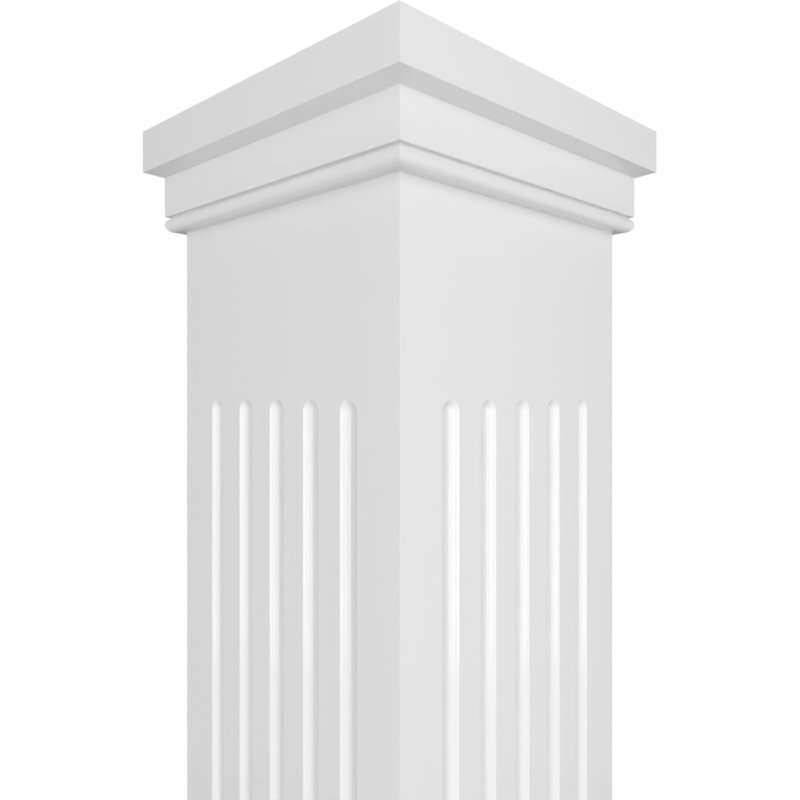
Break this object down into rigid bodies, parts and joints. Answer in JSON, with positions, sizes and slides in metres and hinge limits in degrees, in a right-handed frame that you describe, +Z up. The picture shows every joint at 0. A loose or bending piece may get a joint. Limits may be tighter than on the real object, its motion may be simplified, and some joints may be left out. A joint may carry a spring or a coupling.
{
  "type": "fluted square column",
  "caption": "Hollow square porch column of white board, with fluted faces, a mitred capital of abacus, frieze and bead, and a plain plinth base.",
  "frame": {"origin": "middle of the underside, on the column's centre line", "axes": "+Z up along the shaft; the faces look along -Y (front), +X (right), +Y (back) and -X (left)"},
  "size_m": [0.2952, 0.2952, 2.4384],
  "materials": {
    "shaft_board": "smooth white cellular PVC board with a satin face",
    "abacus_board": "smooth white cellular PVC board with a satin face",
    "frieze_board": "smooth white cellular PVC board with a satin face",
    "bead": "smooth white cellular PVC board with a satin face",
    "plinth_board": "smooth white cellular PVC board with a satin face",
    "base_bead": "smooth white cellular PVC board with a satin face"
  },
  "bodies": {
    "root": {"shaft_board_front": "shaft_board", "shaft_board_right": "shaft_board", "shaft_board_back": "shaft_board", "shaft_board_left": "shaft_board", "abacus_board_front": "abacus_board", "abacus_board_right": "abacus_board", "abacus_board_back": "abacus_board", "abacus_board_left": "abacus_board", "frieze_board_front": "frieze_board", "frieze_board_right": "frieze_board", "frieze_board_back": "frieze_board", "frieze_board_left": "frieze_board", "bead_front": "bead", "bead_right": "bead", "bead_back": "bead", "bead_left": "bead", "plinth_board_front": "plinth_board", "plinth_board_right": "plinth_board", "plinth_board_back": "plinth_board", "plinth_board_left": "plinth_board", "base_bead_front": "base_bead", "base_bead_right": "base_bead", "base_bead_back": "base_bead", "base_bead_left": "base_bead"}
  },
  "joints": []
}
